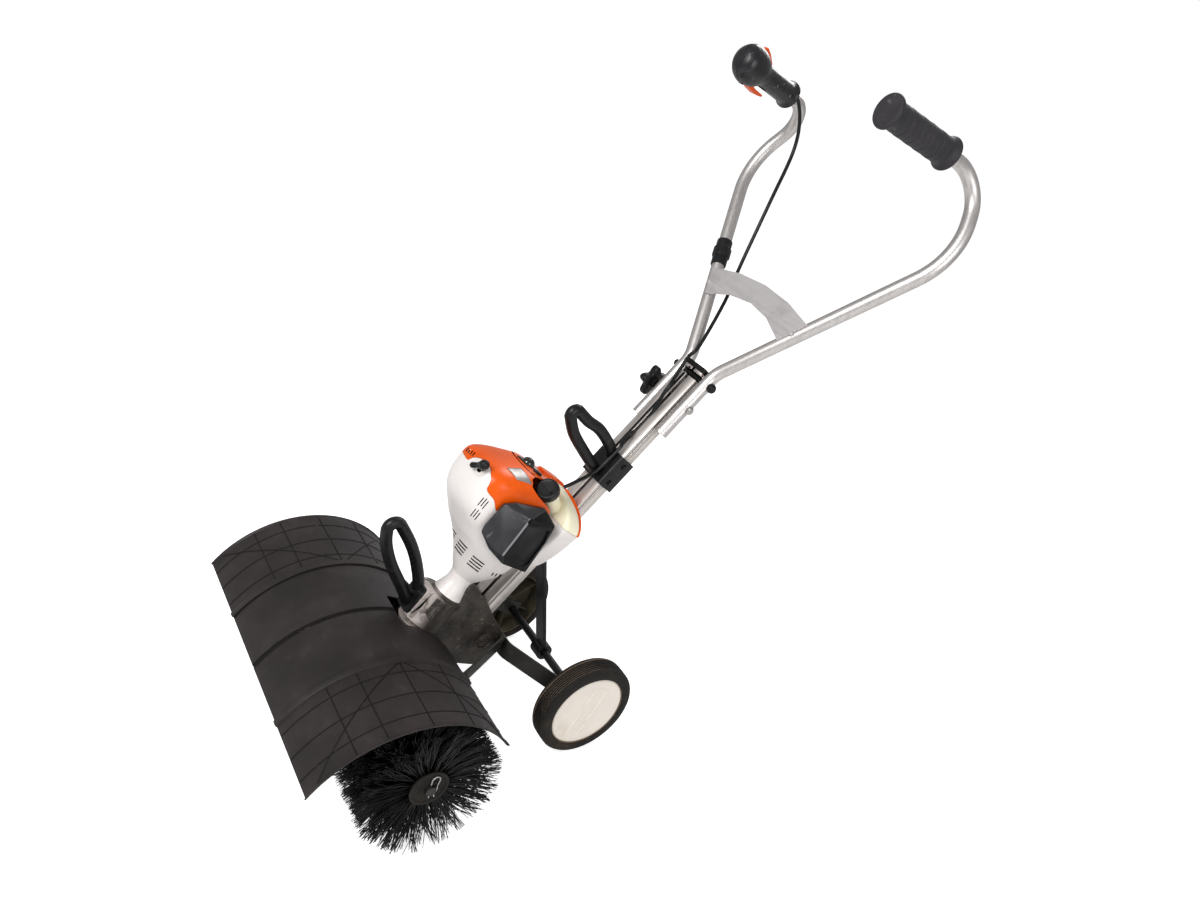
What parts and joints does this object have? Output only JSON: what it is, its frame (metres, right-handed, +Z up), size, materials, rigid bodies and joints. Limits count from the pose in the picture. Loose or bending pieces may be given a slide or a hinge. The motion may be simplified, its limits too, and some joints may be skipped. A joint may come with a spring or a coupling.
{
  "type": "power brush",
  "caption": "Walk-behind petrol power brush with a rotary sweeping brush under a curved cover, an engine on a worm gear case, two wheels and a folding handle.",
  "frame": {"origin": "centre of the whole machine's box, on the ground that the brush and the wheels stand on", "axes": "+X to the operator's left, along the brush; -Y the way it is pushed, so +Y towards the operator; +Z up"},
  "size_m": [0.5988, 0.9958, 1.2632],
  "materials": {
    "gear_case": "rough sand-cast, greasy and scuffed",
    "gear_cover": "rough sand-cast",
    "filler_plug": "zinc plated, dull",
    "worm_shaft": "ground, oiled",
    "worm_wheel": "machined, greased",
    "clutch_drum": "pressed, heat-blued",
    "bearing_left": "ground",
    "bearing_right": "ground",
    "output_shaft": "turned",
    "bristles_left": "nylon, dusty",
    "bristles_right": "nylon, dusty",
    "spring_clip_left": "plated spring wire",
    "spring_clip_right": "plated spring wire",
    "cover_centre_left": "grained, scuffed",
    "cover_centre_right": "grained, scuffed",
    "cover_end_left": "grained, scuffed",
    "cover_end_right": "grained, scuffed",
    "cover_holder": "dark grey paint, chipped",
    "rail": "extruded, satin",
    "rail_end_cap": "moulded",
    "wheel_arms": "dark grey paint, worn",
    "axle_strut": "black paint, worn",
    "wheel_axle": "drawn bar",
    "tyre_left": "ribbed, dusty",
    "tyre_right": "ribbed, dusty",
    "wheel_left": "moulded, off-white",
    "wheel_right": "moulded, off-white",
    "front_loop_handle": "black powder coat",
    "rear_loop_handle": "black powder coat",
    "handle_tube_left": "anodised, satin",
    "handle_tube_right": "anodised, satin",
    "cross_brace": "sheet, brushed",
    "handle_grip": "ribbed, worn",
    "throttle_housing": "glass-filled, fine grain",
    "throttle_trigger": "moulded",
    "trigger_lock": "moulded",
    "star_knob": "moulded",
    "clamp_bolt": "zinc plated",
    "stop_bolt": "steel bolt in a black plastic cap",
    "throttle_cable_upper": "black sheath",
    "throttle_cable_bend": "black sheath",
    "throttle_cable_lower": "black sheath",
    "fan_housing": "white, moulded",
    "top_cover": "orange, moulded",
    "crankcase": "die cast",
    "cylinder": "die cast, finned",
    "piston": "machined",
    "connecting_rod": "forged",
    "crankshaft": "ground",
    "flywheel": "die cast",
    "spark_plug": "white insulator with a plated body",
    "muffler": "pressed steel, heat stained",
    "carburettor": "die cast",
    "filter_cover": "moulded, fine grain",
    "fuel_tank": "translucent cream",
    "fuel_cap": "ribbed",
    "primer_bulb": "glossy",
    "choke_lever": "moulded",
    "starter_pulley": "moulded",
    "starter_grip": "moulded"
  },
  "bodies": {
    "chassis": {"gear_case": "gear_case", "gear_cover": "gear_cover", "filler_plug": "filler_plug", "bearing_left": "bearing_left", "bearing_right": "bearing_right", "cover_centre_left": "cover_centre_left", "cover_centre_right": "cover_centre_right", "cover_end_left": "cover_end_left", "cover_end_right": "cover_end_right", "cover_holder": "cover_holder", "rail": "rail", "rail_end_cap": "rail_end_cap", "wheel_arms": "wheel_arms", "axle_strut": "axle_strut", "wheel_axle": "wheel_axle", "front_loop_handle": "front_loop_handle", "rear_loop_handle": "rear_loop_handle", "throttle_cable_lower": "throttle_cable_lower", "throttle_cable_bend": "throttle_cable_bend", "fan_housing": "fan_housing", "top_cover": "top_cover", "crankcase": "crankcase", "cylinder": "cylinder", "piston": "piston", "connecting_rod": "connecting_rod", "spark_plug": "spark_plug", "muffler": "muffler", "carburettor": "carburettor", "filter_cover": "filter_cover", "fuel_tank": "fuel_tank"},
    "brush": {"output_shaft": "output_shaft", "worm_wheel": "worm_wheel", "bristles_left": "bristles_left", "bristles_right": "bristles_right", "spring_clip_left": "spring_clip_left", "spring_clip_right": "spring_clip_right"},
    "drive": {"worm_shaft": "worm_shaft", "clutch_drum": "clutch_drum"},
    "crank": {"crankshaft": "crankshaft", "flywheel": "flywheel"},
    "starter_rotor": {"starter_pulley": "starter_pulley"},
    "starter_handle": {"starter_grip": "starter_grip"},
    "road_wheel_left": {"wheel_left": "wheel_left", "tyre_left": "tyre_left"},
    "road_wheel_right": {"wheel_right": "wheel_right", "tyre_right": "tyre_right"},
    "handle": {"handle_tube_left": "handle_tube_left", "handle_tube_right": "handle_tube_right", "cross_brace": "cross_brace", "handle_grip": "handle_grip", "throttle_housing": "throttle_housing", "clamp_bolt": "clamp_bolt", "stop_bolt": "stop_bolt", "throttle_cable_upper": "throttle_cable_upper"},
    "knob": {"star_knob": "star_knob"},
    "trigger": {"throttle_trigger": "throttle_trigger"},
    "lock": {"trigger_lock": "trigger_lock"},
    "filler_cap": {"fuel_cap": "fuel_cap"},
    "primer": {"primer_bulb": "primer_bulb"},
    "choke": {"choke_lever": "choke_lever"}
  },
  "joints": [
    {"name": "brush_spin", "type": "hinge", "parent": "chassis", "child": "brush", "pos_m": [0, -0.29313, 0.125], "axis": [1, 0, 0], "continuous": true},
    {"name": "worm_spin", "type": "hinge", "parent": "chassis", "child": "drive", "pos_m": [0, -0.27096, 0.11142], "axis": [0, 0.5225, 0.8526], "continuous": true},
    {"name": "crank_spin", "type": "hinge", "parent": "chassis", "child": "crank", "pos_m": [0, -0.16908, 0.27768], "axis": [0, 0.5225, 0.8526], "continuous": true},
    {"name": "starter_pull", "type": "slide", "parent": "chassis", "child": "starter_handle", "axis": [0, -0.8526, 0.5225], "range_m": [0, 0.7], "stiffness_N_per_m": 15, "springref_m": -0.4},
    {"name": "starter_pulley_turn", "type": "hinge", "parent": "chassis", "child": "starter_rotor", "pos_m": [0, -0.16908, 0.27768], "axis": [0, 0.5225, 0.8526], "range_deg": [0, 1830]},
    {"name": "wheel_left_spin", "type": "hinge", "parent": "chassis", "child": "road_wheel_left", "pos_m": [0, 0.07487, 0.098], "axis": [1, 0, 0], "continuous": true},
    {"name": "wheel_right_spin", "type": "hinge", "parent": "chassis", "child": "road_wheel_right", "pos_m": [0, 0.07487, 0.098], "axis": [1, 0, 0], "continuous": true},
    {"name": "handle_fold", "type": "hinge", "parent": "chassis", "child": "handle", "pos_m": [0, 0.20258, 0.66296], "axis": [1, 0, 0], "range_deg": [0, 110], "deforming": ["throttle_cable_bend"]},
    {"name": "star_knob_turn", "type": "hinge", "parent": "handle", "child": "knob", "pos_m": [0, 0.20258, 0.66296], "axis": [1, 0, 0], "continuous": true},
    {"name": "throttle_squeeze", "type": "hinge", "parent": "handle", "child": "trigger", "pos_m": [-0.17411, 0.29061, 1.20422], "axis": [0.9895, 0.1445, 0], "range_deg": [0, 8], "stiffness_Nm_per_rad": 0.8, "springref_deg": -8.59},
    {"name": "lock_press", "type": "hinge", "parent": "handle", "child": "lock", "pos_m": [-0.18104, 0.33805, 1.23358], "axis": [0.9895, 0.1445, 0], "range_deg": [0, 12], "stiffness_Nm_per_rad": 0.4, "springref_deg": -8.59},
    {"name": "fuel_cap_turn", "type": "hinge", "parent": "chassis", "child": "filler_cap", "pos_m": [0.05, -0.05435, 0.51466], "axis": [0.2681, -0.5837, 0.7664], "continuous": true},
    {"name": "primer_press", "type": "slide", "parent": "chassis", "child": "primer", "axis": [0, -0.5225, -0.8526], "range_m": [0, 0.005], "stiffness_N_per_m": 800, "springref_m": -0.001},
    {"name": "choke_turn", "type": "hinge", "parent": "chassis", "child": "choke", "pos_m": [0.024, -0.06211, 0.52879], "axis": [0, 0.5225, 0.8526], "range_deg": [-60, 0]}
  ],
  "couplings": [
    {"joint": "worm_spin", "follows": "brush_spin", "ratio": -38},
    {"joint": "starter_pulley_turn", "follows": "starter_pull", "rad_per_m": 45.455}
  ]
}
